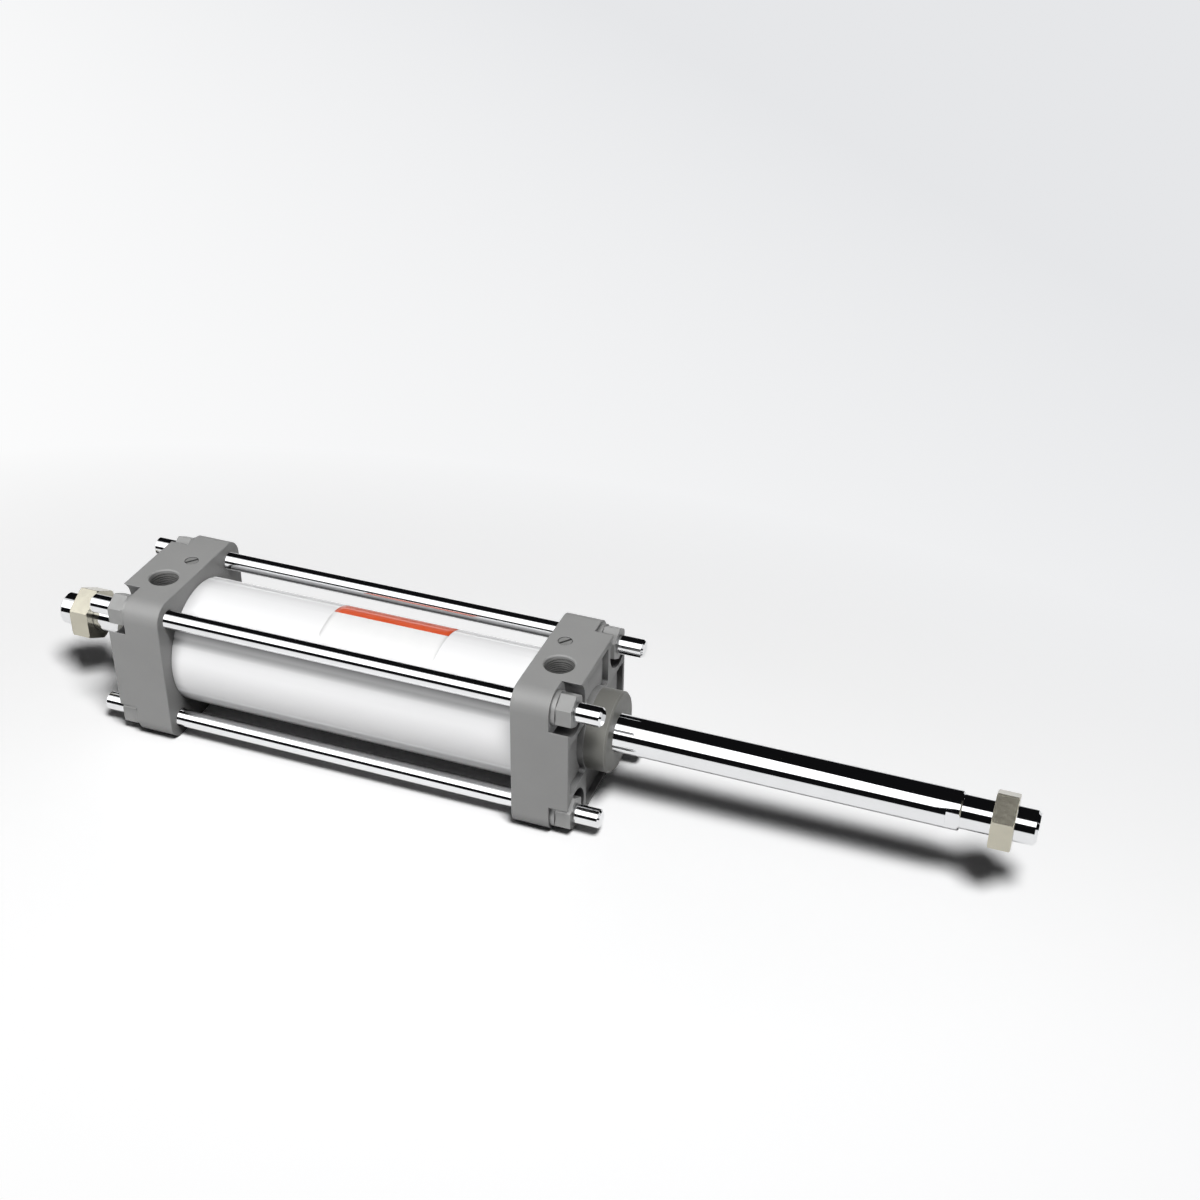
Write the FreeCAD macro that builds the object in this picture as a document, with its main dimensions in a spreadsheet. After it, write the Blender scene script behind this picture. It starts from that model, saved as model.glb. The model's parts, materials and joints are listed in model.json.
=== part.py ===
import FreeCAD, Part
import math
import os
import Sketcher

# Double rod pneumatic cylinder with tie rods, in millimetres.
# The axis is X and +Z is up. The origin is on the axis, in the outer face of the front cover, where the
# cylinder is bolted on. The piston rests at the front end of its travel, with the front rod run out.

# Driving dimensions, by alias
DIMENSIONS = {
    # Tube
    "bore": 63,
    "tube_wall": 3,
    "tube_between_covers": 199,
    "tube_seat_depth": 2,
    "tube_clearance": 0.2,
    # Rod covers
    "cover_width": 85,
    "cover_length": 31,
    "cover_corner_radius": 10.5,
    "cover_edge_radius": 0.6,
    "spigot_length": 5,
    "boss_diameter": 43,
    "boss_reach": 12,
    "boss_chamfer": 1,
    "boss_root_step": 0.4,
    "core_depth": 3.2,
    "core_wall": 3,
    "core_rib": 5,
    "core_corner_radius": 1.5,
    # Bores inside the covers
    "chamber_diameter": 34,
    "bush_wall": 2.4,
    "bush_length": 14,
    "bush_clearance": 0.1,
    "web_length": 1,
    "rod_seal_wall": 3.7,
    "rod_seal_length": 6.2,
    "rod_seal_room": 0.3,
    "lip_length": 2.5,
    "lip_clearance": 0.3,
    "seal_clearance": 0.3,
    "cushion_seal_diameter": 40,
    "cushion_seal_length": 5.5,
    "cushion_seal_recess": 0.5,
    "gasket_width": 2,
    "gasket_height": 1.8,
    "gasket_room": 0.05,
    # Air ports
    "port_diameter": 15.7,
    "port_depth": 15,
    "port_chamfer": 0.6,
    "port_passage": 8,
    "port_from_tube": 14.2,
    "port_offset": 10.7,
    # Cushion needles
    "needle_diameter": 7.2,
    "needle_length": 13,
    "needle_tip_diameter": 2.2,
    "needle_tip_length": 6,
    "needle_passage": 3,
    "needle_clearance": 0.3,
    "needle_recess": 0.2,
    "needle_slot_width": 1.2,
    "needle_slot_depth": 1.6,
    "needle_slot_turn": 50,
    "needle_seal_height": 1.2,
    "needle_seal_width": 1.6,
    "needle_from_tube": 9.5,
    "needle_offset": 9.9,
    # Tie rods, their washers and nuts
    "tie_pitch": 64,
    "tie_shank_diameter": 9.6,
    "tie_thread_diameter": 10,
    "tie_thread_pitch_diameter": 9.2,
    "tie_thread_length": 28,
    "tie_reach": 14.4,
    "tie_chamfer": 1,
    "tie_clearance": 0.1,
    "tie_washer_wall": 4,
    "tie_washer_thickness": 2.5,
    "tie_nut_flats": 16,
    "tie_nut_height": 8.4,
    "nut_pocket_depth": 10.5,
    "nut_pocket_clearance": 4,
    "crest_start": 0.1,
    # Piston and its rings
    "piston_length": 20,
    "piston_clearance": 0.4,
    "end_clearance": 0.5,
    "piston_seal_width": 5,
    "piston_seal_height": 4.5,
    "wear_ring_width": 7,
    "wear_ring_height": 2,
    "ring_clearance": 0.15,
    "ring_room": 0.1,
    "ring_gap": 2.5,
    "rod_gasket_width": 2,
    "rod_gasket_height": 1.5,
    # Piston rods, cushion rings and rod nuts
    "rod_diameter": 20,
    "rod_end_reach": 58,
    "rod_thread_diameter": 17.7,
    "rod_thread_pitch_diameter": 17.2,
    "rod_thread_length": 37,
    "rod_end_chamfer": 1.5,
    "rod_shoulder_chamfer": 0.8,
    "wrench_flats": 18,
    "wrench_flat_length": 7,
    "joint_diameter": 14,
    "joint_length": 15,
    "joint_clearance": 0.1,
    "cushion_ring_diameter": 28,
    "cushion_ring_length": 20,
    "cushion_ring_chamfer": 1.5,
    "rod_nut_flats": 27,
    "rod_nut_height": 11,
    "rod_nut_clearance": 0.15,
    "rod_nut_setback": 11.2,
}

NUT_CHAMFER_START = 1.09    # share of the flats' half width where a nut's end chamfer starts
NUT_CHAMFER_SLOPE = math.tan(math.radians(30))

doc = FreeCAD.newDocument("double_rod_cylinder")
sheet = doc.addObject("Spreadsheet::Sheet", "sizes")
for row, (alias, value) in enumerate(DIMENSIONS.items(), start=1):
    sheet.set(f"A{row}", alias)
    sheet.set(f"B{row}", str(value))
    sheet.setAlias(f"B{row}", alias)
doc.recompute()


class Size:
    """A length worked out from the sheet: its value now, and the expression that keeps it up to date."""

    def __init__(self, value, text):
        self.value = value
        self.text = text

    def __add__(self, other):
        other = as_size(other)
        return Size(self.value + other.value, f"({self.text} + {other.text})")

    def __sub__(self, other):
        other = as_size(other)
        return Size(self.value - other.value, f"({self.text} - {other.text})")

    def __mul__(self, factor):
        factor = as_size(factor)
        return Size(self.value * factor.value, f"({self.text} * {factor.text})")

    def __truediv__(self, divisor):
        return Size(self.value / divisor, f"({self.text} / {divisor!r})")

    def __neg__(self):
        return Size(-self.value, f"(-{self.text})")


def as_size(thing):
    """A plain number as a size, and a size as it is."""
    if isinstance(thing, Size):
        return thing
    return Size(thing, repr(thing))


def smaller(first, second):
    """The smaller of two sizes."""
    return Size(min(first.value, second.value), f"min({first.text}; {second.text})")


def magnitude(size):
    """A size without its sign."""
    return Size(abs(size.value), f"abs({size.text})")


def square_root(size):
    """The square root of a size that is an area."""
    return Size(math.sqrt(size.value), f"sqrt({size.text})")


def cell(name):
    """The size held in the sheet under this alias."""
    return Size(float(sheet.get(name)), f"sizes.{name}")


def bind(thing, path, size):
    """Ties a property of a document object to a size."""
    thing.setExpression(path, as_size(size).text)


# Places along the axis and out from it, worked out from the sheet
ZERO = as_size(0.0)
half_width = cell("cover_width") / 2
tie_half_pitch = cell("tie_pitch") / 2
bore_radius = cell("bore") / 2
tube_radius = bore_radius + cell("tube_wall")
front_inner = -cell("cover_length")
rear_inner = front_inner - cell("tube_between_covers")
cylinder_middle = (front_inner + rear_inner) / 2
spigot_end = front_inner - cell("spigot_length")
spigot_radius = bore_radius - cell("tube_clearance")
rod_radius = cell("rod_diameter") / 2
boss_end = cell("boss_reach")
lip_radius = rod_radius + cell("lip_clearance")
lip_start = boss_end - cell("lip_length")
rod_seal_radius = rod_radius + cell("rod_seal_wall")
rod_seal_start = lip_start - cell("rod_seal_length") - cell("rod_seal_room")
bush_radius = rod_radius + cell("bush_wall")
bush_front = rod_seal_start - cell("web_length")
bush_back = bush_front - cell("bush_length")
chamber_radius = cell("chamber_diameter") / 2
cushion_seat_radius = cell("cushion_seal_diameter") / 2
cushion_seat_end = spigot_end + cell("cushion_seal_length") + cell("cushion_seal_recess")
cushion_ring_radius = cell("cushion_ring_diameter") / 2
piston_front = spigot_end - cell("end_clearance")
piston_back = piston_front - cell("piston_length")
piston_middle = (piston_front + piston_back) / 2
stroke = (cell("tube_between_covers") - cell("spigot_length") * 2 - cell("piston_length")
          - cell("end_clearance") * 2)
front_rod_end = cell("rod_end_reach") + stroke
needle_x = front_inner + cell("needle_from_tube")
port_x = front_inner + cell("port_from_tube")
tie_nut_corner = cell("tie_nut_flats") / math.sqrt(3)
pocket_radius = tie_nut_corner + cell("nut_pocket_clearance")

pieces = []


def plane(body, role):
    """One of a body's own origin planes or axes, by its role."""
    return next(item for item in body.Origin.OriginFeatures if item.Role == role)


def new_body(label):
    """An empty body whose label names its node."""
    body = doc.addObject("PartDesign::Body", label)
    body.Label = label
    return body


def sketch_on(body, role, offset=(ZERO, ZERO, ZERO)):
    """An empty sketch on an origin plane of the body, shifted in the plane's own directions."""
    sketch = body.newObject("Sketcher::SketchObject", f"{body.Name}_sketch")
    sketch.AttachmentSupport = [(plane(body, role), "")]
    sketch.MapMode = "FlatFace"
    for axis, size in zip("xyz", offset):
        if size is not ZERO:
            bind(sketch, f"AttachmentOffset.Base.{axis}", size)
    return sketch


def pin_point(sketch, line, end, across, up):
    """Holds one end of a line, or the centre of a circle, at a place measured from the sketch's origin."""
    for kind, size in (("DistanceX", as_size(across)), ("DistanceY", as_size(up))):
        number = sketch.addConstraint(Sketcher.Constraint(kind, -1, 1, line, end, size.value))
        bind(sketch, f"Constraints[{number}]", size)


def outline(sketch, corners):
    """A closed outline of straight lines through the corners, each an (across, up) pair of sizes."""
    corners = [(as_size(across), as_size(up)) for across, up in corners]
    points = [FreeCAD.Vector(across.value, up.value, 0) for across, up in corners]
    first = sketch.GeometryCount
    for start, end in zip(points, points[1:] + points[:1]):
        sketch.addGeometry(Part.LineSegment(start, end))
    count = len(corners)
    for step in range(count):
        following = first + (step + 1) % count
        sketch.addConstraint(Sketcher.Constraint("Coincident", first + step, 2, following, 1))
    for step, (across, up) in enumerate(corners):
        pin_point(sketch, first + step, 1, across, up)


def circle(sketch, across, up, radius):
    """A circle with its centre and its radius tied to sizes."""
    centre = FreeCAD.Vector(across.value, up.value, 0)
    line = sketch.addGeometry(Part.Circle(centre, FreeCAD.Vector(0, 0, 1), radius.value))
    pin_point(sketch, line, 3, across, up)
    number = sketch.addConstraint(Sketcher.Constraint("Radius", line, radius.value))
    bind(sketch, f"Constraints[{number}]", radius)


def feature(body, kind, sketch, length=None, backwards=False):
    """A pad, pocket, revolution or groove from a sketch; turned kinds go round the sketch's own X."""
    made = body.newObject(f"PartDesign::{kind}", f"{body.Name}_{kind.lower()}")
    made.Profile = sketch
    if kind in ("Revolution", "Groove"):
        made.ReferenceAxis = (sketch, ["H_Axis"])
        made.Angle = 360
    else:
        bind(made, "Length", length)
    made.Reversed = backwards
    return made


def around_axis(body, originals):
    """Repeats features four times around the cylinder's axis."""
    pattern = body.newObject("PartDesign::PolarPattern", f"{body.Name}_pattern")
    pattern.Originals = originals
    pattern.Axis = (plane(body, "X_Axis"), [""])
    pattern.Angle = 360
    pattern.Occurrences = 4
    body.Tip = pattern


def turned(label, profile, across=ZERO, up=ZERO):
    """A piece turned about a line along X, from (along, out) corners, at (across, up) from the axis."""
    body = new_body(label)
    sketch = sketch_on(body, "XZ_Plane", (ZERO, up, -across))
    outline(sketch, profile)
    feature(body, "Revolution", sketch)
    return body


def ring(label, start, end, inner, outer, across=ZERO, up=ZERO):
    """A plain turned ring."""
    profile = [(start, inner), (end, inner), (end, outer), (start, outer)]
    return turned(label, profile, across, up)


def mirrored(source, label, normal, at=ZERO):
    """The mirror image of a piece in the plane across this axis, at a place along it."""
    image = doc.addObject("Part::Mirroring", label)
    image.Label = label
    image.Source = source
    image.Normal = FreeCAD.Vector(*(float(axis == normal) for axis in "XYZ"))
    bind(image, f"Base.{normal.lower()}", at)
    return image


def four_corners(corner, label):
    """The piece at the far top corner and its images at the other three, as one group of solids."""
    near = mirrored(corner, f"{label}_near", "Y")
    low = mirrored(corner, f"{label}_low", "Z")
    near_low = mirrored(near, f"{label}_near_low", "Z")
    group = doc.addObject("Part::Compound", label)
    group.Label = label
    group.Links = [corner, near, low, near_low]
    return group


def front_and_rear(front, rear_label):
    """Keeps a front piece and its mirror image at the rear end of the cylinder."""
    pieces.append(front)
    pieces.append(mirrored(front, rear_label, "X", cylinder_middle))


def hex_nut(label, start, flats, height, bore, across=ZERO, up=ZERO):
    """A hexagon nut along X with flats facing sideways and both ends chamfered."""
    body = new_body(label)
    corner = flats / math.sqrt(3)
    sketch = sketch_on(body, "YZ_Plane", (across, up, start))
    hexagon = [(ZERO, corner), (flats / 2, corner / 2), (flats / 2, -corner / 2),
               (ZERO, -corner), (-flats / 2, -corner / 2), (-flats / 2, corner / 2)]
    outline(sketch, hexagon)
    feature(body, "Pad", sketch, height)
    sketch = sketch_on(body, "XZ_Plane", (start, up, -across))
    outer = corner * 1.05
    inner = flats / 2 * NUT_CHAMFER_START
    rise = (outer - inner) * NUT_CHAMFER_SLOPE
    outline(sketch, [(ZERO, inner), (rise, outer), (ZERO, outer)])
    outline(sketch, [(height, inner), (height, outer), (height - rise, outer)])
    outline(sketch, [(ZERO, ZERO), (height, ZERO), (height, bore), (ZERO, bore)])
    feature(body, "Groove", sketch)
    return body


# Tube
tube_end = front_inner + cell("tube_seat_depth")
tube_back = rear_inner - cell("tube_seat_depth")
pieces.append(ring("cylinder_tube", tube_back, tube_end, bore_radius, tube_radius))


# Rod covers: die castings with cored front faces, nut pockets at the corners and a turned boss
def rounded_square(sketch, half, radius):
    """A square with round corners about the sketch's origin."""
    flat = half - radius
    corners = []
    for turn in range(4):
        cosine = round(math.cos(turn * math.pi / 2))
        sine = round(math.sin(turn * math.pi / 2))
        for across, up in ((half, -flat), (half, flat)):
            corners.append((across * cosine - up * sine, across * sine + up * cosine))
    for step in range(4):
        start, end = corners[2 * step:2 * step + 2]
        line = sketch.addGeometry(Part.LineSegment(*(FreeCAD.Vector(a.value, b.value, 0)
                                                     for a, b in (start, end))))
        pin_point(sketch, line, 1, *start)
        pin_point(sketch, line, 2, *end)
    for step in range(4):
        round_corner(sketch, step, (step + 1) % 4, radius, step)


def round_corner(sketch, before, after, radius, turn):
    """A tangent arc from the end of one line to the start of the next, counter-clockwise."""
    start = sketch.getPoint(before, 2)
    angle = turn * math.pi / 2
    outward = FreeCAD.Vector(math.cos(angle), math.sin(angle), 0)
    centre = start - outward * radius.value
    bow = Part.ArcOfCircle(Part.Circle(centre, FreeCAD.Vector(0, 0, 1), radius.value),
                           angle, angle + math.pi / 2)
    arc = sketch.addGeometry(bow)
    sketch.addConstraint(Sketcher.Constraint("Tangent", before, 2, arc, 1))
    sketch.addConstraint(Sketcher.Constraint("Coincident", arc, 2, after, 1))


def rod_cover(label):
    """The front rod cover, from a block to its last bore."""
    body = new_body(label)
    block = sketch_on(body, "YZ_Plane")
    rounded_square(block, half_width, smaller(cell("cover_corner_radius"), half_width - tie_half_pitch))
    feature(body, "Pad", block, cell("cover_length"), backwards=True)
    round_ends(body)
    boss_radius = cell("boss_diameter") / 2
    cast_radius = boss_radius + cell("boss_root_step")

    # Cored pocket above the boss, repeated on the other three sides
    top = half_width - cell("core_wall")
    side = tie_half_pitch - pocket_radius - cell("core_wall")
    slant = cell("core_rib") / math.sqrt(2)
    foot = cell("boss_diameter") / 8
    core = sketch_on(body, "YZ_Plane")
    outline(core, [(-side, top), (-side, side + slant), (-foot, foot + slant),
                   (foot, foot + slant), (side, side + slant), (side, top)])
    cores = feature(body, "Pocket", core, cell("core_depth"))

    # Round nut pocket, open to the outside, and tie rod hole at the far top corner, repeated at the others
    spot = sketch_on(body, "YZ_Plane")
    circle(spot, tie_half_pitch, tie_half_pitch, pocket_radius)
    spots = feature(body, "Pocket", spot, cell("nut_pocket_depth"))
    hole = sketch_on(body, "YZ_Plane")
    circle(hole, tie_half_pitch, tie_half_pitch, cell("tie_thread_diameter") / 2 + cell("tie_clearance"))
    holes = feature(body, "Pocket", hole, cell("cover_length"))
    around_axis(body, [cores, spots, holes])

    # Boss and spigot: the boss is turned down to the mounting face and stays as cast below it
    chamfer = cell("boss_chamfer")
    solid = sketch_on(body, "XZ_Plane")
    outline(solid, [(spigot_end, ZERO), (boss_end, ZERO), (boss_end, boss_radius - chamfer),
                    (boss_end - chamfer, boss_radius), (ZERO, boss_radius), (ZERO, cast_radius),
                    (front_inner, cast_radius), (front_inner, spigot_radius), (spigot_end, spigot_radius)])
    feature(body, "Revolution", solid)
    rib_foot = (square_root(cast_radius * cast_radius * 2 - slant * slant) - slant) / 2
    round_cores(body, smaller(cell("core_corner_radius"), magnitude(side - rib_foot) * 0.9))

    # Tube seat, gasket groove and the bore for the rod, its bush and its seals
    seat = tube_end
    gasket_front = (front_inner + spigot_end) / 2 + cell("gasket_width") / 2
    gasket_back = gasket_front - cell("gasket_width")
    gasket_floor = spigot_radius - cell("gasket_height") + cell("tube_clearance")
    bores = sketch_on(body, "XZ_Plane")
    outline(bores, [(front_inner, spigot_radius), (seat, spigot_radius),
                    (seat, tube_radius + cell("tube_clearance")),
                    (front_inner, tube_radius + cell("tube_clearance"))])
    outline(bores, [(gasket_back, gasket_floor), (gasket_front, gasket_floor),
                    (gasket_front, bore_radius), (gasket_back, bore_radius)])
    outline(bores, [(spigot_end, ZERO), (boss_end, ZERO), (boss_end, lip_radius), (lip_start, lip_radius),
                    (lip_start, rod_seal_radius), (rod_seal_start, rod_seal_radius),
                    (rod_seal_start, lip_radius), (bush_front, lip_radius), (bush_front, bush_radius),
                    (bush_back, bush_radius), (bush_back, chamber_radius),
                    (cushion_seat_end, chamber_radius), (cushion_seat_end, cushion_seat_radius),
                    (spigot_end, cushion_seat_radius)])
    feature(body, "Groove", bores)

    # Air port and needle hole, drilled from the top into the cushion chamber
    port_radius = cell("port_diameter") / 2
    port_floor = half_width - cell("port_depth")
    passage = cell("port_passage") / 2
    rim = cell("port_chamfer")
    drilled(body, port_x, -cell("port_offset"),
            [(ZERO, half_width), (port_radius + rim, half_width), (port_radius, half_width - rim),
             (port_radius, port_floor), (passage, port_floor), (passage, ZERO), (ZERO, ZERO)])
    needle_hole = cell("needle_diameter") / 2 + cell("needle_clearance")
    needle_floor = half_width - cell("needle_recess") - cell("needle_length")
    needle_passage = cell("needle_passage") / 2
    drilled(body, needle_x, cell("needle_offset"),
            [(ZERO, half_width), (needle_hole, half_width), (needle_hole, needle_floor),
             (needle_passage, needle_floor), (needle_passage, ZERO), (ZERO, ZERO)])
    return body


def round_ends(body):
    """Rounds the edges of the block's two end faces."""
    doc.recompute()
    block = body.Tip
    edges = [f"Edge{number}" for number, edge in enumerate(block.Shape.Edges, start=1)
             if edge.BoundBox.XLength < 1e-6]
    rounding = body.newObject("PartDesign::Fillet", f"{body.Name}_fillet")
    rounding.Base = (block, edges)
    bind(rounding, "Radius", cell("cover_edge_radius"))


def round_cores(body, radius):
    """Rounds the upright corners of the cored pockets, and where their walls run into the boss."""
    doc.recompute()
    solid = body.Tip
    depth = cell("core_depth").value
    reach = half_width.value - cell("core_wall").value
    corners = []
    for number, edge in enumerate(solid.Shape.Edges, start=1):
        start, end = edge.Vertexes[0].Point, edge.Vertexes[-1].Point
        runs_along = abs(abs(start.x - end.x) - depth) < 1e-6 and abs(edge.Length - depth) < 1e-6
        inside = max(abs(start.y), abs(start.z)) < reach + 1e-6
        if runs_along and inside:
            corners.append(f"Edge{number}")
    rounding = body.newObject("PartDesign::Fillet", f"{body.Name}_fillet")
    rounding.Base = (solid, corners)
    bind(rounding, "Radius", radius)


def drilled(body, along, across, profile):
    """A stepped hole with an upright axis, from (out, up) corners."""
    sketch = sketch_on(body, "XZ_Plane", (along, ZERO, -across))
    outline(sketch, profile)
    hole = feature(body, "Groove", sketch)
    hole.ReferenceAxis = (sketch, ["V_Axis"])


front_and_rear(rod_cover("front_rod_cover"), "rear_rod_cover")

# Gaskets, bushes and seals that the covers hold
gasket_middle = (front_inner + spigot_end) / 2
gasket_reach = cell("gasket_width") / 2 - cell("gasket_room")
front_and_rear(ring("front_tube_gasket", gasket_middle - gasket_reach, gasket_middle + gasket_reach,
                    bore_radius - cell("gasket_height") + cell("gasket_room"),
                    bore_radius - cell("gasket_room")), "rear_tube_gasket")
front_and_rear(ring("front_rod_bush", bush_back, bush_front, rod_radius + cell("bush_clearance"),
                    bush_radius), "rear_rod_bush")
seal_inner = rod_radius + cell("seal_clearance")
seal_groove = cell("rod_seal_wall") / 3
front_and_rear(turned("front_rod_seal", [
    (rod_seal_start, seal_inner), (lip_start - cell("rod_seal_room"), seal_inner),
    (lip_start - cell("rod_seal_room"), rod_seal_radius),
    (rod_seal_start, rod_seal_radius), (rod_seal_start, rod_seal_radius - seal_groove),
    (rod_seal_start + seal_groove, seal_inner + seal_groove * 1.5),
    (rod_seal_start, seal_inner + seal_groove)]), "rear_rod_seal")
front_and_rear(ring("front_cushion_seal", spigot_end + cell("cushion_seal_recess"), cushion_seat_end,
                    cushion_ring_radius + cell("seal_clearance"), cushion_seat_radius),
               "rear_cushion_seal")

# Tie rods, with a washer and a nut in each corner pocket
# Threads are drawn at their crests past the nut, and at their pitch line under and behind it
washer_back = -cell("nut_pocket_depth")
nut_back = washer_back + cell("tie_washer_thickness")
tie_end = cell("tie_reach")
tie_thread = cell("tie_thread_diameter") / 2
tie_shank = cell("tie_shank_diameter") / 2
tie_chamfer = cell("tie_chamfer")
tie_pitch_line = cell("tie_thread_pitch_diameter") / 2
tie_crest_start = nut_back + cell("tie_nut_height") + cell("crest_start")
tie_thread_start = tie_end - cell("tie_thread_length")
tie_front_half = [
    (tie_end, ZERO), (tie_end, tie_thread - tie_chamfer), (tie_end - tie_chamfer, tie_thread),
    (tie_crest_start, tie_thread), (tie_crest_start, tie_pitch_line), (tie_thread_start, tie_pitch_line),
    (tie_thread_start, tie_shank)]
tie_back_half = [(cylinder_middle * 2 - along, out) for along, out in reversed(tie_front_half)]
tie_rod = turned("tie_rod_far_top", tie_front_half + tie_back_half, tie_half_pitch, tie_half_pitch)
tie_rod_near = mirrored(tie_rod, "tie_rod_near_top", "Y")
pieces += [tie_rod, tie_rod_near, mirrored(tie_rod, "tie_rod_far_bottom", "Z"),
           mirrored(tie_rod_near, "tie_rod_near_bottom", "Z")]
tie_hole = tie_thread + cell("tie_clearance")
washer = ring("tie_washer", washer_back, nut_back, tie_hole, tie_thread + cell("tie_washer_wall"),
              tie_half_pitch, tie_half_pitch)
front_and_rear(four_corners(washer, "front_tie_rod_washers"), "rear_tie_rod_washers")
tie_nut = hex_nut("tie_nut", nut_back, cell("tie_nut_flats"), cell("tie_nut_height"),
                  tie_pitch_line + cell("gasket_room"), tie_half_pitch, tie_half_pitch)
front_and_rear(four_corners(tie_nut, "front_tie_rod_nuts"), "rear_tie_rod_nuts")


# Cushion needles: slotted screws in the tops of the covers
needle_groove = cell("needle_diameter") / 2 - cell("needle_seal_height")
needle_seal_top = -cell("needle_length") / 2 + cell("needle_seal_width") / 2
needle_seal_foot = needle_seal_top - cell("needle_seal_width")


def upright(label, profile, along):
    """A piece turned about its own upright axis, from (out, up) corners below the cover's top."""
    body = new_body(label)
    sketch = sketch_on(body, "XZ_Plane")
    outline(sketch, profile)
    feature(body, "Revolution", sketch).ReferenceAxis = (sketch, ["V_Axis"])
    bind(body, "Placement.Base.x", along)
    bind(body, "Placement.Base.y", cell("needle_offset"))
    bind(body, "Placement.Base.z", half_width - cell("needle_recess"))
    bind(body, "Placement.Rotation.Angle", cell("needle_slot_turn"))
    return body


def needle(end, along):
    """One needle with its screwdriver slot, and the seal in its groove."""
    radius = cell("needle_diameter") / 2
    tip = cell("needle_tip_diameter") / 2
    foot = -cell("needle_length")
    point = foot - cell("needle_tip_length")
    body = upright(f"{end}_cushion_needle", [
        (ZERO, ZERO), (radius, ZERO), (radius, needle_seal_top), (needle_groove, needle_seal_top),
        (needle_groove, needle_seal_foot), (radius, needle_seal_foot), (radius, foot),
        (tip, foot), (tip, point + tip), (ZERO, point)], along)
    slot = sketch_on(body, "XY_Plane")
    half_slot = cell("needle_slot_width") / 2
    reach = radius * 1.2
    outline(slot, [(-reach, -half_slot), (reach, -half_slot), (reach, half_slot), (-reach, half_slot)])
    feature(body, "Pocket", slot, cell("needle_slot_depth"))
    room = cell("gasket_room")
    seal = upright(f"{end}_needle_seal", [
        (needle_groove + room, needle_seal_foot + room), (radius + cell("needle_clearance") / 2,
                                                          needle_seal_foot + room),
        (radius + cell("needle_clearance") / 2, needle_seal_top - room),
        (needle_groove + room, needle_seal_top - room)], along)
    pieces.extend([body, seal])


needle("front", needle_x)
needle("rear", cylinder_middle * 2 - needle_x)

# Piston with its seal, wear ring and rod gasket
piston_radius = bore_radius - cell("piston_clearance")
ring_radius = bore_radius - cell("ring_clearance")
joint_radius = cell("joint_diameter") / 2
hole_radius = joint_radius + cell("joint_clearance")
seal_front = piston_front - cell("ring_gap")
seal_back = seal_front - cell("piston_seal_width")
seal_floor = bore_radius - cell("piston_seal_height")
wear_front = seal_back - cell("ring_gap")
wear_back = wear_front - cell("wear_ring_width")
wear_floor = bore_radius - cell("wear_ring_height")
gasket_start = piston_middle + cell("rod_gasket_width") / 2
gasket_stop = gasket_start - cell("rod_gasket_width")
gasket_top = hole_radius + cell("rod_gasket_height")
piston = turned("piston", [
    (piston_back, hole_radius), (gasket_stop, hole_radius), (gasket_stop, gasket_top),
    (gasket_start, gasket_top), (gasket_start, hole_radius), (piston_front, hole_radius),
    (piston_front, piston_radius), (seal_front, piston_radius), (seal_front, seal_floor),
    (seal_back, seal_floor), (seal_back, piston_radius), (wear_front, piston_radius),
    (wear_front, wear_floor), (wear_back, wear_floor), (wear_back, piston_radius),
    (piston_back, piston_radius)])
room = cell("ring_room")
pieces += [piston, ring("piston_seal", seal_back + room, seal_front - room, seal_floor + room, ring_radius),
           ring("piston_wear_ring", wear_back + room, wear_front - room, wear_floor + room, ring_radius),
           ring("piston_rod_gasket", gasket_stop + cell("gasket_room"), gasket_start - cell("gasket_room"),
                joint_radius + cell("gasket_room"), gasket_top - cell("gasket_room"))]

# Piston rods: the front one passes through the piston and screws into the rear one
thread_radius = cell("rod_thread_diameter") / 2
pitch_radius = cell("rod_thread_pitch_diameter") / 2
nut_outer = front_rod_end - cell("rod_nut_setback")
crest_start = nut_outer + cell("crest_start")
shoulder = front_rod_end - cell("rod_thread_length")
rod_tip = [(front_rod_end, ZERO), (front_rod_end, thread_radius - cell("rod_end_chamfer")),
           (front_rod_end - cell("rod_end_chamfer"), thread_radius), (crest_start, thread_radius),
           (crest_start, pitch_radius), (shoulder, pitch_radius),
           (shoulder, rod_radius - cell("rod_shoulder_chamfer")),
           (shoulder - cell("rod_shoulder_chamfer"), rod_radius)]


def wrench_flats(body, start, length):
    """Two flats facing sideways, cut into the rod from start along X."""
    sketch = sketch_on(body, "YZ_Plane", (ZERO, ZERO, start))
    near = cell("wrench_flats") / 2
    far = rod_radius * 1.2
    for side in (1, -1):
        outline(sketch, [(near * side, -far), (far * side, -far), (far * side, far), (near * side, far)])
    feature(body, "Pocket", sketch, length)


joint_end = piston_back - cell("joint_length")
front_rod = turned("front_piston_rod", [(joint_end, ZERO)] + rod_tip + [
    (piston_front, rod_radius), (piston_front, joint_radius), (joint_end, joint_radius)])
wrench_flats(front_rod, shoulder, cell("wrench_flat_length"))


def at_rear(place):
    """The place on the rear rod that answers to a place on the front rod."""
    return piston_middle * 2 - place


socket_end = joint_end - cell("joint_clearance")
rear_rod = turned("rear_piston_rod", [(socket_end, ZERO)] + [(at_rear(x), r) for x, r in rod_tip] + [
    (piston_back, rod_radius), (piston_back, hole_radius), (socket_end, hole_radius)])
wrench_flats(rear_rod, at_rear(shoulder) + cell("wrench_flat_length"), cell("wrench_flat_length"))
pieces += [front_rod, rear_rod]

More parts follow.
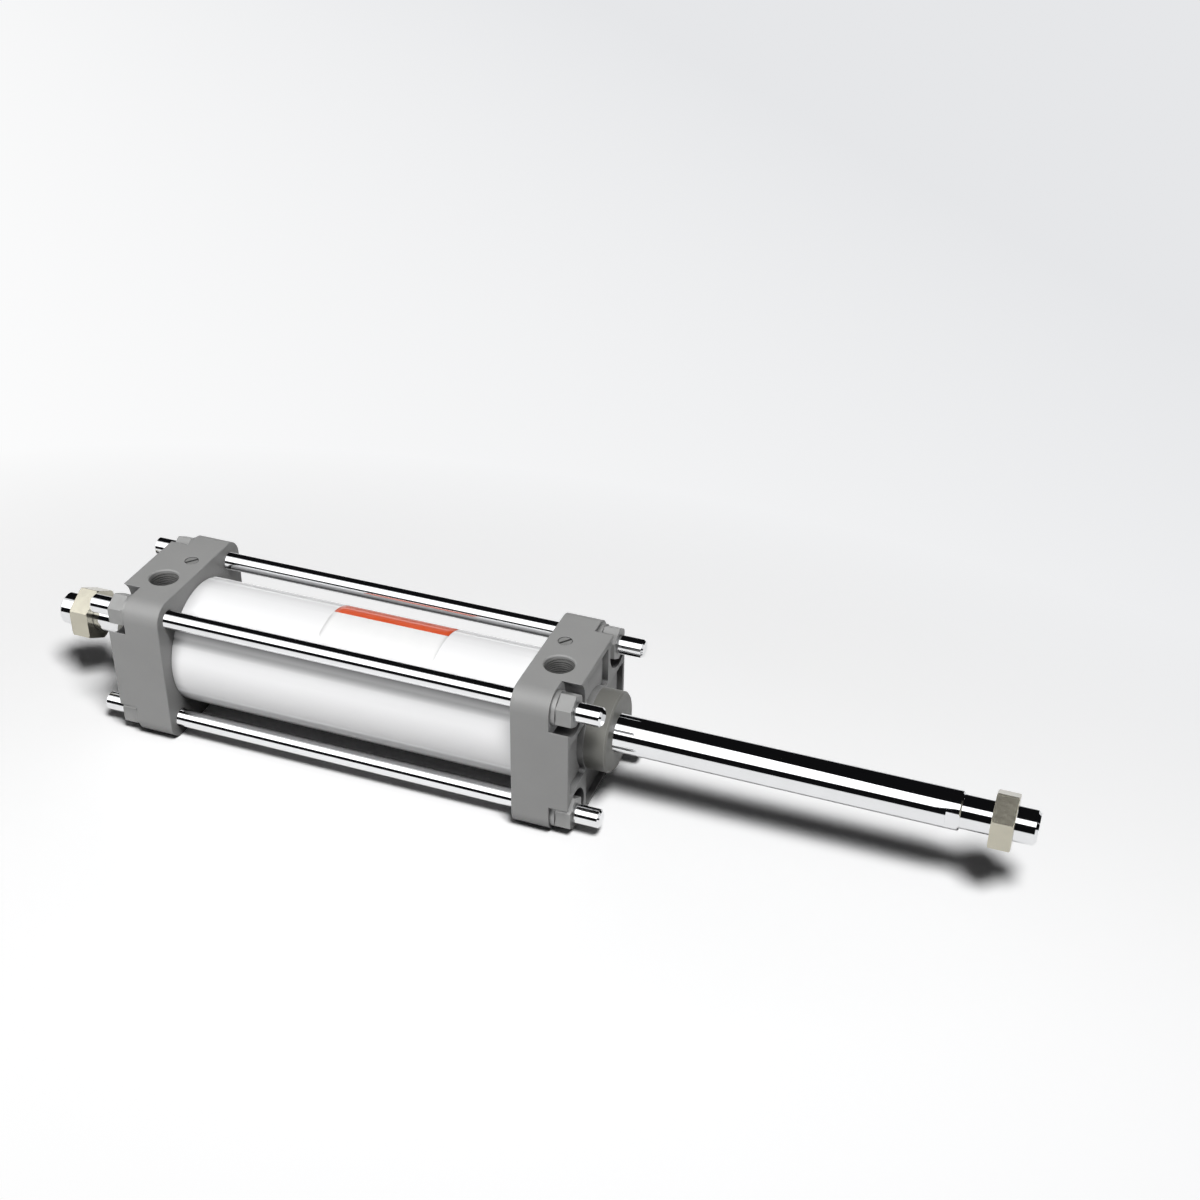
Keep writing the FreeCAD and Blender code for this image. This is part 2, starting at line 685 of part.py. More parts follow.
# Cushion rings beside the piston, and the nuts on the rod ends
cushion_end = piston_front + cell("cushion_ring_length")
cushion_chamfer = cell("cushion_ring_chamfer")
cushion_inner = rod_radius + cell("gasket_room")
cushion_ring = turned("front_cushion_ring", [
    (piston_front, cushion_inner), (cushion_end, cushion_inner),
    (cushion_end, cushion_ring_radius - cushion_chamfer), (cushion_end - cushion_chamfer, cushion_ring_radius),
    (piston_front, cushion_ring_radius)])
rod_nut = hex_nut("front_rod_nut", nut_outer - cell("rod_nut_height"), cell("rod_nut_flats"),
                  cell("rod_nut_height"), pitch_radius + cell("rod_nut_clearance"))
pieces += [cushion_ring, mirrored(cushion_ring, "rear_cushion_ring", "X", piston_middle),
           rod_nut, mirrored(rod_nut, "rear_rod_nut", "X", piston_middle)]

doc.recompute()
for thing in doc.Objects:
    if "Invalid" in thing.State or "Error" in thing.State:
        raise RuntimeError(f"{thing.Label} did not build: {thing.State}")
for piece in pieces:
    if piece.Shape.isNull() or not piece.Shape.isValid():
        raise RuntimeError(f"{piece.Label} has no valid shape")

os.makedirs("parts", exist_ok=True)
for piece in pieces:
    piece.Shape.exportStep(f"parts/{piece.Label}.step")
    print(f"{piece.Label}: {len(piece.Shape.Solids)} solids, {piece.Shape.Volume:.1f} mm3")
print(f"stroke {stroke.value:g} mm")
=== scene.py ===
import json
import math

import bmesh
import bpy
from mathutils import Matrix, Vector

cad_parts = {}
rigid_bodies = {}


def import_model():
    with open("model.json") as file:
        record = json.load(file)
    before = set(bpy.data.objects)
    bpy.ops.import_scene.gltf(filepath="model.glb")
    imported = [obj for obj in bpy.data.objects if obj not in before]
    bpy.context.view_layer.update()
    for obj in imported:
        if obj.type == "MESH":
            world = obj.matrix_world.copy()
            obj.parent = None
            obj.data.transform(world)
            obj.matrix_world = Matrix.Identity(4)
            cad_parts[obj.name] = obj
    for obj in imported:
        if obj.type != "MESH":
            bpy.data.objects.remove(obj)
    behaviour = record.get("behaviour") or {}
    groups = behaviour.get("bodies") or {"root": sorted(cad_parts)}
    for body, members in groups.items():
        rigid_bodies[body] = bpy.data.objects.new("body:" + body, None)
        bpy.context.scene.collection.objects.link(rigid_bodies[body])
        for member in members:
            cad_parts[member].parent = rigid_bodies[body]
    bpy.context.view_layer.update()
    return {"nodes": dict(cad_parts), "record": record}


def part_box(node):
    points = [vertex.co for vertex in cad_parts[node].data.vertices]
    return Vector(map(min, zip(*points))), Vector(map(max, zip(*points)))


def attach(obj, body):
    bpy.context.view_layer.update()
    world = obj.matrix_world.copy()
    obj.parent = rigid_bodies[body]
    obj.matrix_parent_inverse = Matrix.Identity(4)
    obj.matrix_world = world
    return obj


# Double rod pneumatic cylinder: materials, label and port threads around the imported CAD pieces, in metres.

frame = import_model()
scene = bpy.context.scene
scene.view_settings.view_transform = "Standard"
nodes = frame["nodes"]
slot_of = {part["node"]: part["material_slot"] for part in frame["record"]["subparts"]}
mounts = {mount["name"]: mount for mount in frame["record"]["mounts"]}

# Places that the materials and the stage need
FLOOR_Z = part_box("front_rod_cover")[0].z
MIDDLE = (mounts["front_pilot"]["pos_m"][0] + mounts["rear_pilot"]["pos_m"][0]) / 2
COVER_FACE = mounts["front_pilot"]["pos_m"][0] - MIDDLE
TIE_ROD_SIDE = mounts["front_studs"]["dims"]["spacing_x_mm"] / 2000


# Node helpers
class Nodes:
    """Short calls that add nodes to a node tree."""

    def __init__(self, tree):
        self.tree = tree

    def add(self, kind, **values):
        """A node of this kind, with its properties and unlinked inputs set by name."""
        node = self.tree.nodes.new(f"ShaderNode{kind}")
        for name, value in values.items():
            if hasattr(node, name):
                setattr(node, name, value)
            else:
                node.inputs[name.replace("_", " ")].default_value = value
        return node

    def link(self, source, target):
        self.tree.links.new(source, target)

    def ramp(self, factor, low, high, start=0.3, end=0.7):
        """A value spread from one span onto another, and held at its ends."""
        spread = self.add("MapRange", From_Min=start, From_Max=end, To_Min=low, To_Max=high)
        self.link(factor, spread.inputs["Value"])
        return spread.outputs["Result"]

    def combine(self, operation, first, second):
        """Two values put together by a math operation."""
        node = self.add("Math", operation=operation)
        self.link(first, node.inputs[0])
        self.link(second, node.inputs[1])
        return node.outputs["Value"]

    def mix(self, factor, first, second):
        """A colour between two, each given as (red, green, blue) or as another node's socket."""
        blend = self.add("MixRGB")
        self.link(factor, blend.inputs["Fac"])
        for socket, colour in ((blend.inputs["Color1"], first), (blend.inputs["Color2"], second)):
            if isinstance(colour, tuple):
                socket.default_value = (*colour, 1)
            else:
                self.link(colour, socket)
        return blend.outputs["Color"]

    def seen_directly(self):
        """1 for rays from the camera, off gloss or through glass, and 0 once light has scattered."""
        path = self.add("LightPath")
        gloss = self.combine("MAXIMUM", path.outputs["Is Glossy Ray"], path.outputs["Is Transmission Ray"])
        straight = self.combine("MAXIMUM", path.outputs["Is Camera Ray"], gloss)
        unscattered = self.ramp(path.outputs["Diffuse Depth"], 1.0, 0.0, 0.0, 1.0)
        return self.combine("MULTIPLY", straight, unscattered)


class Shader(Nodes):
    """A material with a Principled shader."""

    def __init__(self, name, **settings):
        self.material = bpy.data.materials.new(name)
        self.material.use_nodes = True
        super().__init__(self.material.node_tree)
        self.surface = self.tree.nodes["Principled BSDF"]
        for socket, value in settings.items():
            self.surface.inputs[socket.replace("_", " ")].default_value = value

    def noise(self, scale, detail=3.0, stretch=(1, 1, 1)):
        """Grey noise with about this many grains in a metre, squeezed or stretched along each axis."""
        coordinates = self.add("TexCoord")
        mapping = self.add("Mapping", Scale=stretch)
        texture = self.add("TexNoise", Scale=scale, Detail=detail)
        self.link(coordinates.outputs["Object"], mapping.inputs["Vector"])
        self.link(mapping.outputs["Vector"], texture.inputs["Vector"])
        return texture.outputs["Fac"]

    def mottle(self, dark, light, scale, detail=3.0, stretch=(1, 1, 1)):
        """A colour that wanders between two."""
        return self.mix(self.ramp(self.noise(scale, detail, stretch), 0.0, 1.0), dark, light)

    def bump(self, height, strength, distance, under=None):
        """A bumped normal, laid over another normal if one is given."""
        relief = self.add("Bump", Strength=strength, Distance=distance)
        self.link(height, relief.inputs["Height"])
        if under is not None:
            self.link(under, relief.inputs["Normal"])
        return relief.outputs["Normal"]

    def soft_edges(self, radius):
        """The normal of the piece with its sharp edges rounded, and a mask that is 1 on those edges."""
        rounded = self.add("Bevel", samples=6, Radius=radius)
        true = self.add("NewGeometry")
        product = self.add("VectorMath", operation="DOT_PRODUCT")
        self.link(rounded.outputs["Normal"], product.inputs[0])
        self.link(true.outputs["Normal"], product.inputs[1])
        return rounded.outputs["Normal"], self.ramp(product.outputs["Value"], 1.0, 0.0, 0.86, 0.995)

    def place(self):
        """The X, Y and Z of a point, as outputs."""
        coordinates = self.add("TexCoord")
        parts = self.add("SeparateXYZ")
        self.link(coordinates.outputs["Object"], parts.inputs["Vector"])
        return parts.outputs

    def apart(self, along, centre):
        """Distance from a centre, along one axis."""
        offset = self.add("Math", operation="SUBTRACT")
        self.link(along, offset.inputs[0])
        offset.inputs[1].default_value = centre
        distance = self.add("Math", operation="ABSOLUTE")
        self.link(offset.outputs["Value"], distance.inputs[0])
        return distance.outputs["Value"]

    def from_middle(self):
        """Distance along the axis from the middle of the cylinder."""
        return self.apart(self.place()["X"], MIDDLE)

    def from_tie_rod(self):
        """Distance across the axis from the nearest tie rod's centre line."""
        across, rise = (self.apart(self.apart(self.place()[axis], 0.0), TIE_ROD_SIDE) for axis in "YZ")
        squares = [self.combine("MULTIPLY", side, side) for side in (across, rise)]
        root = self.add("Math", operation="SQRT")
        self.link(self.combine("ADD", *squares), root.inputs[0])
        return root.outputs["Value"]

    def openness(self, reach, shut, open_air):
        """0 deep in a recess and 1 in the open, felt over this reach."""
        shade = self.add("AmbientOcclusion", samples=8, Distance=reach)
        return self.ramp(shade.outputs["AO"], 0.0, 1.0, shut, open_air)

    def connect(self, **sockets):
        """Joins sockets to the shader's inputs."""
        for name, source in sockets.items():
            self.link(source, self.surface.inputs[name.replace("_", " ")])
        return self.material


# Materials
# Near-black tone that recesses and creases are painted with, as painted shade
RECESS_SHADE = (0.012, 0.012, 0.013)
BOSS_GREY = (0.190, 0.189, 0.173)
WORN_AND_HIGHLIGHT_GREY = (0.335, 0.335, 0.332)
BOSS_START, BOSS_FULL = COVER_FACE + 0.0001, COVER_FACE + 0.0004
TUBE_SHADE = (0.08, 0.08, 0.083)
SHADE_FULL, SHADE_GONE = 0.0112, 0.0172
SHADE_LOW, SHADE_LOW_FULL = 0.0, 0.006
SHADE_HIGH_FULL, SHADE_HIGH = 0.024, 0.028


def cast_grey():
    """Satin grey paint with fine grain, edges lighter for wear and painted highlight, and painted shade in
    recesses; the turned boss is a duller grey.
    """
    shader = Shader("cast_grey_paint", Metallic=0.0, Specular_IOR_Level=0.6)
    edge_normal, edges = shader.soft_edges(0.0005)
    paint = shader.mottle((0.257, 0.257, 0.254), (0.272, 0.272, 0.269), 45, 5)
    boss = shader.ramp(shader.from_middle(), 0.0, 1.0, BOSS_START, BOSS_FULL)
    turned = shader.mix(boss, paint, BOSS_GREY)
    # Edges get a lighter grey: partly wear, partly painted highlight.
    edge_wear_and_highlight = shader.mix(edges, turned, WORN_AND_HIGHLIGHT_GREY)
    # Painted shade: recesses darken towards a near-black tone by ambient occlusion.
    shaded = shader.mix(shader.openness(0.013, 0.27, 0.64), RECESS_SHADE, edge_wear_and_highlight)
    grain = shader.bump(shader.noise(2600, 2), 0.05, 0.0002, edge_normal)
    rough = shader.ramp(shader.noise(700, 3), 0.42, 0.50)
    return shader.connect(Base_Color=shaded, Roughness=rough, Normal=grain)


def coated_white():
    """Smooth white coating with a trace of draw lines, and a soft shade below the upper tie rods."""
    shader = Shader("tube_white_coating", Metallic=0.0, Coat_Weight=0.8, Coat_Roughness=0.04)
    tone = shader.mottle((0.83, 0.83, 0.835), (0.85, 0.85, 0.855), 55, 3, (0.15, 1, 1))
    height = shader.place()["Z"]
    above = shader.ramp(height, 0.0, 1.0, SHADE_HIGH_FULL, SHADE_HIGH)
    below = shader.ramp(height, 1.0, 0.0, SHADE_LOW, SHADE_LOW_FULL)
    away = shader.ramp(shader.from_tie_rod(), 0.0, 1.0, SHADE_FULL, SHADE_GONE)
    clear = shader.combine("MAXIMUM", away, shader.combine("MAXIMUM", above, below))
    shaded = shader.mix(clear, TUBE_SHADE, tone)
    rough = shader.ramp(shader.noise(240, 3, (0.1, 1, 1)), 0.30, 0.40)
    lines = shader.bump(shader.noise(1500, 2, (0.02, 1, 1)), 0.02, 0.0001)
    return shader.connect(Base_Color=shaded, Roughness=rough, Normal=lines)


def chrome(name, roughness):
    """Hard chrome: a mirror with the faintest grinding marks round the rod."""
    shader = Shader(name, Metallic=1.0)
    tone = shader.mottle((0.755, 0.76, 0.766), (0.785, 0.79, 0.797), 90)
    rough = shader.ramp(shader.noise(900, 3, (1, 0.2, 0.2)), roughness * 0.7, roughness * 1.3)
    marks = shader.bump(shader.noise(2400, 2, (1, 0.05, 0.05)), 0.012, 0.0001)
    return shader.connect(Base_Color=tone, Roughness=rough, Normal=marks)


def plated(name, dark, light, roughness, metallic, edge_lift):
    """Plated steel with soft edges, fine grain, a little colour change and painted shade in recesses."""
    shader = Shader(name, Metallic=metallic)
    edge_normal, edges = shader.soft_edges(0.0004)
    # Edge colour is the light tone times edge_lift: above 1 it is wear with painted highlight, below 1
    # painted shade.
    edge_tone = tuple(min(1.0, part * edge_lift) for part in light)
    tone = shader.mix(edges, shader.mottle(dark, light, 180), edge_tone)
    # Painted shade in creases, by ambient occlusion.
    shaded = shader.mix(shader.openness(0.004, 0.30, 0.72), RECESS_SHADE, tone)
    rough = shader.ramp(shader.noise(600, 3), *roughness)
    grain = shader.bump(shader.noise(3000, 2), 0.025, 0.0002, edge_normal)
    return shader.connect(Base_Color=shaded, Roughness=rough, Normal=grain)


def machined(name, dark, light, roughness):
    """Turned metal with fine rings."""
    shader = Shader(name, Metallic=1.0)
    tone = shader.mottle(dark, light, 300)
    rings = shader.bump(shader.noise(2500, 2, (1, 0.05, 0.05)), 0.08, 0.0002)
    rough = shader.ramp(shader.noise(700, 3), *roughness)
    return shader.connect(Base_Color=tone, Roughness=rough, Normal=rings)


def moulded(name, dark, light, roughness):
    """Rubber or plastic with a fine moulded grain."""
    shader = Shader(name, Metallic=0.0)
    tone = shader.mottle(dark, light, 400)
    rough = shader.ramp(shader.noise(900, 3), *roughness)
    grain = shader.bump(shader.noise(3500, 2), 0.1, 0.0002)
    return shader.connect(Base_Color=tone, Roughness=rough, Normal=grain)


MATERIALS = {
    "cover_grey": cast_grey(),
    "tube_white": coated_white(),
    "rod_chrome": chrome("rod_hard_chrome", 0.03),
    "tie_rod_chrome": chrome("tie_rod_bright_plating", 0.045),
    "tie_nut_steel": plated("tie_nut_zinc", (0.29, 0.29, 0.287), (0.318, 0.318, 0.314),
                            roughness=(0.36, 0.44), metallic=0.25, edge_lift=1.3),
    "rod_nut_steel": plated("rod_nut_nickel", (0.49, 0.465, 0.385), (0.53, 0.505, 0.415),
                            roughness=(0.16, 0.22), metallic=0.86, edge_lift=1.2),
    # The needle's edge_lift of 0.2 paints shade along its slot and rim.
    "needle_steel": plated("needle_steel_edge_shade", (0.27, 0.27, 0.265), (0.31, 0.31, 0.305),
                           roughness=(0.36, 0.44), metallic=0.25, edge_lift=0.2),
    "cushion_steel": machined("cushion_ring_steel", (0.55, 0.55, 0.56), (0.62, 0.62, 0.63), (0.2, 0.3)),
    "piston_aluminium": machined("piston_aluminium", (0.70, 0.70, 0.72), (0.77, 0.77, 0.79), (0.28, 0.4)),
    "bush_bronze": machined("bush_bronze", (0.60, 0.42, 0.18), (0.68, 0.49, 0.24), (0.28, 0.4)),
    "seal_rubber": moulded("seal_black_rubber", (0.018, 0.018, 0.018), (0.03, 0.03, 0.03), (0.5, 0.65)),
    "wear_ring_plastic": moulded("wear_ring_plastic", (0.80, 0.78, 0.70), (0.86, 0.84, 0.77), (0.4, 0.5)),
}
# Finishes that show in reflections; the others would draw dark rings where a rod meets a cover
SEEN_IN_CHROME = ("tube_white", "rod_chrome", "tie_rod_chrome", "tie_nut_steel", "rod_nut_steel")
for name, node in nodes.items():
    for slot in node.material_slots:
        slot.material = MATERIALS[slot_of[name]]
    node.visible_glossy = slot_of[name] in SEEN_IN_CHROME

# New pieces
lit_pieces = bpy.data.collections.new("cylinder")
for node in nodes.values():
    lit_pieces.objects.link(node)


def new_piece(name, mesh, body, slot, *materials):
    """A mesh object that rides on a body and takes the given materials; the slot argument is not used."""
    piece = bpy.data.objects.new(name, mesh)
    scene.collection.objects.link(piece)
    lit_pieces.objects.link(piece)
    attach(piece, body)
    for material in materials:
        mesh.materials.append(material)
    return piece


def finished_mesh(name, shape):
    """A mesh made from a bmesh, shaded smooth."""
    for face in shape.faces:
        face.smooth = True
    mesh = bpy.data.meshes.new(name)
    shape.to_mesh(mesh)
    shape.free()
    return mesh


# Plain label on top of the tube: white, with an orange-red band along its far edge
LABEL_START, LABEL_END = -0.150, -0.084
LABEL_LOW, LABEL_BAND, LABEL_HIGH = math.radians(62), math.radians(95), math.radians(120)
LABEL_CORNER = 0.002
LABEL_LIFT = 0.00004
LABEL_THICKNESS = 0.00012
LABEL_COLUMNS, LABEL_MIDDLE_ROWS, LABEL_CORNER_ROWS = 24, 40, 8


def label_rows(radius):
    """Angles of the label's rows, closer together at its round corners."""
    height = (LABEL_HIGH - LABEL_LOW) * radius
    quarter = [step * math.pi / (2 * LABEL_CORNER_ROWS) for step in range(LABEL_CORNER_ROWS + 1)]
    corner = [LABEL_CORNER * (1 - math.cos(turn)) for turn in quarter]
    straight = height - 2 * LABEL_CORNER
    middle = [LABEL_CORNER + straight * step / LABEL_MIDDLE_ROWS for step in range(1, LABEL_MIDDLE_ROWS)]
    reach = corner + middle + [height - place for place in reversed(corner)]
    angles = [LABEL_LOW + place / radius for place in reach]
    nearest = min(range(len(angles)), key=lambda number: abs(angles[number] - LABEL_BAND))
    angles[nearest] = LABEL_BAND
    return angles


def label_mesh(radius):
    """The label's film, bent round the tube, with the band as its second material."""
    rows = label_rows(radius)
    shape = bmesh.new()
    grid = []
    for angle in rows:
        edge = min((angle - LABEL_LOW) * radius, (LABEL_HIGH - angle) * radius)
        inside = max(0.0, LABEL_CORNER - max(edge, 0.0))
        inset = LABEL_CORNER - math.sqrt(max(LABEL_CORNER ** 2 - inside ** 2, 0.0))
        start, end = LABEL_START + inset, LABEL_END - inset
        grid.append([shape.verts.new((start + (end - start) * step / LABEL_COLUMNS,
                                      -radius * math.cos(angle), radius * math.sin(angle)))
                     for step in range(LABEL_COLUMNS + 1)])
    for number, (low, high) in enumerate(zip(grid, grid[1:])):
        for step in range(LABEL_COLUMNS):
            face = shape.faces.new((low[step], low[step + 1], high[step + 1], high[step]))
            face.material_index = int((rows[number] + rows[number + 1]) / 2 > LABEL_BAND)
    return finished_mesh("tube_label", shape)


def label_paper(name, dark, light):
    """Smooth printed film with a trace of paper fibre."""
    shader = Shader(name, Metallic=0.0, Coat_Weight=0.6, Coat_Roughness=0.05)
    tone = shader.mottle(dark, light, 120, 3)
    rough = shader.ramp(shader.noise(600, 3), 0.32, 0.42)
    fibre = shader.bump(shader.noise(2500, 3), 0.012, 0.0001)
    return shader.connect(Base_Color=tone, Roughness=rough, Normal=fibre)


tube_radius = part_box("cylinder_tube")[1].z
label = new_piece("tube_label", label_mesh(tube_radius + LABEL_LIFT), "housing", "tube_white",
                  label_paper("label_white", (0.82, 0.82, 0.82), (0.84, 0.84, 0.836)),
                  label_paper("label_orange", (0.68, 0.085, 0.020), (0.74, 0.105, 0.028)))
thicken = label.modifiers.new("thickness", "SOLIDIFY")
thicken.thickness = LABEL_THICKNESS
thicken.offset = 1.0

# Pipe threads in the air ports: a ridge that winds down each port's wall
THREAD_PITCH = 0.00134
THREAD_HEIGHT = 0.0006
THREAD_HALF_FOOT = THREAD_PITCH * 0.46
THREAD_HALF_CREST = THREAD_PITCH * 0.06
THREAD_ROOT = 0.0001
THREAD_TOP = 0.0012
THREAD_TURNS = 8
STEPS_PER_TURN = 48
# The threads' near-black tone is painted shade inside the ports.
port_shade_metal = plated("port_metal_painted_shade", (0.085, 0.085, 0.082), (0.095, 0.095, 0.092),
                    roughness=(0.5, 0.6), metallic=0.0, edge_lift=1.1)


def thread_mesh(name, centre, radius):
    """A closed ridge along a helix, whose foot is sunk a little into the port's wall."""
    shape = bmesh.new()
    steps = THREAD_TURNS * STEPS_PER_TURN
    rings = []
    for step in range(steps + 1):
        angle = step / STEPS_PER_TURN * math.tau
        drop = THREAD_TOP + THREAD_HALF_FOOT + step / STEPS_PER_TURN * THREAD_PITCH
        fade = min(1.0, step / STEPS_PER_TURN * 2, (steps - step) / STEPS_PER_TURN * 2)
        foot, crest = radius + THREAD_ROOT, radius - THREAD_HEIGHT * fade
        profile = ((foot, THREAD_HALF_FOOT), (crest, THREAD_HALF_CREST),
                   (crest, -THREAD_HALF_CREST), (foot, -THREAD_HALF_FOOT))
        rings.append([shape.verts.new((centre.x + out * math.cos(angle), centre.y + out * math.sin(angle),
                                       centre.z - drop + rise)) for out, rise in profile])
    for before, after in zip(rings, rings[1:]):
        for corner in range(4):
            following = (corner + 1) % 4
            shape.faces.new((before[corner], before[following], after[following], after[corner]))
    shape.faces.new(rings[0])
    shape.faces.new(tuple(reversed(rings[-1])))
    bmesh.ops.recalc_face_normals(shape, faces=shape.faces)
    mesh = finished_mesh(name, shape)
    mesh.set_sharp_from_angle(angle=math.radians(35))
    return mesh


for end in ("front", "rear"):
    port = mounts[f"{end}_air_port"]
    mouth = Vector(port["pos_m"])
    mouth.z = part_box(f"{end}_rod_cover")[1].z
    new_piece(f"{end}_port_thread", thread_mesh(f"{end}_port_thread", mouth, port["dims"]["r_mm"] / 1000),
              "housing", "cover_grey", port_shade_metal)

# Stage: a pale floor that stays even far from the cylinder, and dark cards that only reflections see
PALE_NEAR, PALE_FAR = (1.0, 1.0, 1.0), (0.79, 0.798, 0.815)
LIT_NEAR, LIT_FAR = (1.38, 1.38, 1.38), (1.0, 1.005, 1.012)
FLOOR_BOUNCE = (0.20, 0.20, 0.202)
BACKGROUND = (0.90, 0.905, 0.915)
WORLD_LIGHT = (0.02, 0.02, 0.021)
NEAR_DEPTH, FAR_DEPTH = -0.55, 1.0
HORIZON_START, HORIZON_END = 2.2, 5.0
SHADOW_SHIFT, SHADOW_SQUEEZE = (0.12, 0.0, 0.0), (2.4, 4.6, 0.0)
SHADOW_FULL, SHADOW_GONE = 0.75, 1.5


def floor_material():
    """White floor; away from the shadows it is seen in even pale tones that end in the background's."""
    shader = Shader("studio_floor", Roughness=0.5, Specular_IOR_Level=0.2)
    place = shader.add("NewGeometry")
    parts = shader.add("SeparateXYZ")
    shader.link(place.outputs["Position"], parts.inputs["Vector"])
    across = shader.combine("ADD", parts.outputs["X"], parts.outputs["Y"])
    depth = shader.ramp(across, 0.0, 1.0, NEAR_DEPTH, FAR_DEPTH)
    lit = shader.mix(depth, LIT_NEAR, LIT_FAR)
    shader.connect(Base_Color=shader.mix(shader.seen_directly(), FLOOR_BOUNCE, lit))
    reach = shader.add("VectorMath", operation="LENGTH")
    shader.link(place.outputs["Position"], reach.inputs[0])
    horizon = shader.ramp(reach.outputs["Value"], 0.0, 1.0, HORIZON_START, HORIZON_END)
    even = shader.mix(depth, PALE_NEAR, PALE_FAR)
    pale = shader.add("Emission")
    shader.link(shader.mix(horizon, even, BACKGROUND), pale.inputs["Color"])
    spread = shader.add("Mapping", Location=SHADOW_SHIFT, Scale=SHADOW_SQUEEZE)
    shader.link(place.outputs["Position"], spread.inputs["Vector"])
    distance = shader.add("VectorMath", operation="LENGTH")
    shader.link(spread.outputs["Vector"], distance.inputs[0])
    away = shader.ramp(distance.outputs["Value"], 0.0, 1.0, SHADOW_FULL, SHADOW_GONE)
    blend = shader.add("MixShader")
    shader.link(shader.combine("MULTIPLY", away, shader.seen_directly()), blend.inputs["Fac"])
    shader.link(shader.surface.outputs["BSDF"], blend.inputs[1])
    shader.link(pale.outputs["Emission"], blend.inputs[2])
    shader.link(blend.outputs["Shader"], shader.tree.nodes["Material Output"].inputs["Surface"])
    return shader.material


def stage_card(name, corners, material):
    """A flat stage card through its corners."""
    mesh = bpy.data.meshes.new(name)
    mesh.from_pydata(corners, [], [tuple(range(len(corners)))])
    mesh.materials.append(material)
    card = bpy.data.objects.new(name, mesh)
    scene.collection.objects.link(card)
    return card


def dark_card(name, corners):
    """A black card that is seen in reflections alone."""
    card = stage_card(name, corners, dark_cloth)
    for kind in ("camera", "diffuse", "transmission", "volume_scatter", "shadow"):
        setattr(card, f"visible_{kind}", False)


FLOOR_REACH = 6
floor = stage_card("floor", [(-FLOOR_REACH, -FLOOR_REACH, FLOOR_Z), (FLOOR_REACH, -FLOOR_REACH, FLOOR_Z),
                             (FLOOR_REACH, FLOOR_REACH, FLOOR_Z), (-FLOOR_REACH, FLOOR_REACH, FLOOR_Z)],
                   floor_material())

# Dark cards in front, above, behind and past the front end; their faint glow lights nothing
FRONT_Y, BEHIND_Y, ABOVE_Z, PAST_END_X = -0.40, 1.20, 1.50, 0.75
CARD_REACH = 5
FRONT_EDGE = ((-CARD_REACH, FLOOR_Z), (CARD_REACH, FLOOR_Z), (CARD_REACH, 0.34), (0.155, 0.34),
              (0.145, 0.20), (-CARD_REACH, 0.20))
ABOVE_EDGE = ((-CARD_REACH, 0.22), (-1.30, 0.22), (-0.27, -0.11), (0.10, -0.57), (0.30, -0.60),
              (0.30, BEHIND_Y), (-CARD_REACH, BEHIND_Y))
BEHIND_EDGE = ((-CARD_REACH, ABOVE_Z), (CARD_REACH, ABOVE_Z), (CARD_REACH, FLOOR_Z), (-CARD_REACH, FLOOR_Z))
PAST_END_EDGE = ((FRONT_Y, FLOOR_Z), (BEHIND_Y, FLOOR_Z), (BEHIND_Y, 0.10), (FRONT_Y, 0.10))
cloth = Shader("dark_cloth", Roughness=1.0, Specular_IOR_Level=0.0, Emission_Strength=1.0)
dark_tone = cloth.mottle((0.0045, 0.0045, 0.005), (0.006, 0.006, 0.0067), 30)
dark_cloth = cloth.connect(Base_Color=dark_tone, Emission_Color=dark_tone)
dark_cloth.cycles.emission_sampling = "NONE"
dark_card("dark_card_front", [(x, FRONT_Y, z) for x, z in FRONT_EDGE])
dark_card("dark_card_above", [(x, y, ABOVE_Z) for x, y in ABOVE_EDGE])
dark_card("dark_card_behind", [(x, BEHIND_Y, z) for x, z in BEHIND_EDGE])
dark_card("dark_card_right", [(PAST_END_X, y, z) for y, z in PAST_END_EDGE])

# World and lamps
world = bpy.data.worlds.new("studio")
scene.world = world
world.use_nodes = True
sky = Nodes(world.node_tree)
sky.link(sky.mix(sky.seen_directly(), WORLD_LIGHT, BACKGROUND),
         world.node_tree.nodes["Background"].inputs["Color"])


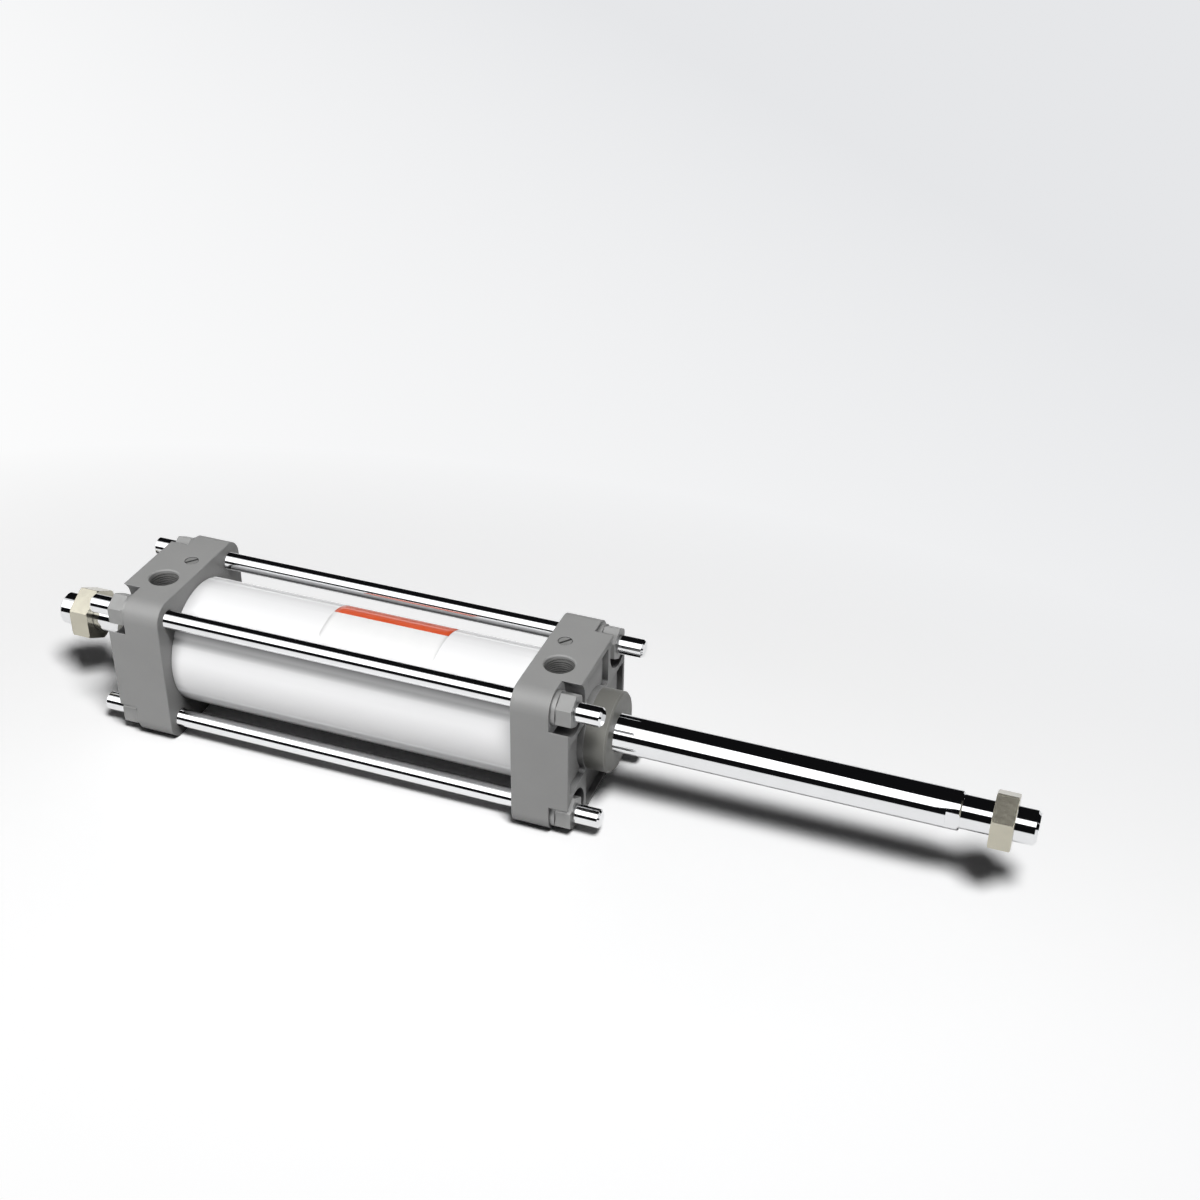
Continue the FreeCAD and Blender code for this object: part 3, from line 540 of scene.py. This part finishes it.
def area_lamp(name, power, size, height, azimuth, elevation, distance, along):
    """A soft rectangular lamp that looks at a place on the cylinder's axis."""
    data = bpy.data.lights.new(name, "AREA")
    data.shape = "RECTANGLE"
    data.size, data.size_y = size, height
    data.energy = power
    lamp = bpy.data.objects.new(name, data)
    scene.collection.objects.link(lamp)
    turn, lift = math.radians(azimuth), math.radians(elevation)
    away = Vector((math.sin(turn) * math.cos(lift), -math.cos(turn) * math.cos(lift), math.sin(lift)))
    lamp.location = Vector((along, 0, 0)) + away * distance
    lamp.rotation_euler = away.to_track_quat("Z", "Y").to_euler()
    lamp.visible_camera = False
    return lamp


key = area_lamp("key", power=84.0, size=0.95, height=0.95,
                azimuth=42, elevation=65.5, distance=3.15, along=0.0)
softbox = area_lamp("softbox", power=32.0, size=5.4, height=1.56,
                    azimuth=0, elevation=55, distance=1.5, along=0.65)
fill = area_lamp("fill", power=14.0, size=0.7, height=0.4,
                 azimuth=-22, elevation=32, distance=1.5, along=-0.10)
back = area_lamp("back", power=7.8, size=1.2, height=0.4,
                 azimuth=205, elevation=15, distance=1.5, along=-0.05)

# The fill and back lamps light the cylinder alone, and the softbox is seen in gloss alone
softbox.visible_diffuse = False
with_floor = bpy.data.collections.new("cylinder_and_floor")
for piece in (*lit_pieces.objects, floor):
    with_floor.objects.link(piece)
for lamp, lit in ((key, with_floor), (softbox, with_floor), (fill, lit_pieces), (back, lit_pieces)):
    lamp.visible_glossy = lamp is softbox
    lamp.light_linking.receiver_collection = lit

# Camera, fitted to the photo's edges
FOCAL_PIXELS, FRAME_PIXELS = 1750.7, 1200
SENSOR_WIDTH = 36
CAMERA_PLACE = (0.23997, -0.68593, 0.54133)
forward = Vector((-0.27811, 0.79606, -0.53753)).normalized()
right = Vector((0.94066, 0.339, 0.01536))
right = (right - forward * right.dot(forward)).normalized()
up = right.cross(forward)
lens = bpy.data.cameras.new("camera")
lens.sensor_width = SENSOR_WIDTH
lens.lens = SENSOR_WIDTH * FOCAL_PIXELS / FRAME_PIXELS
camera = bpy.data.objects.new("camera", lens)
scene.collection.objects.link(camera)
turned = Matrix((right, up, -forward)).transposed().to_4x4()
camera.matrix_world = Matrix.Translation(CAMERA_PLACE) @ turned
scene.camera = camera
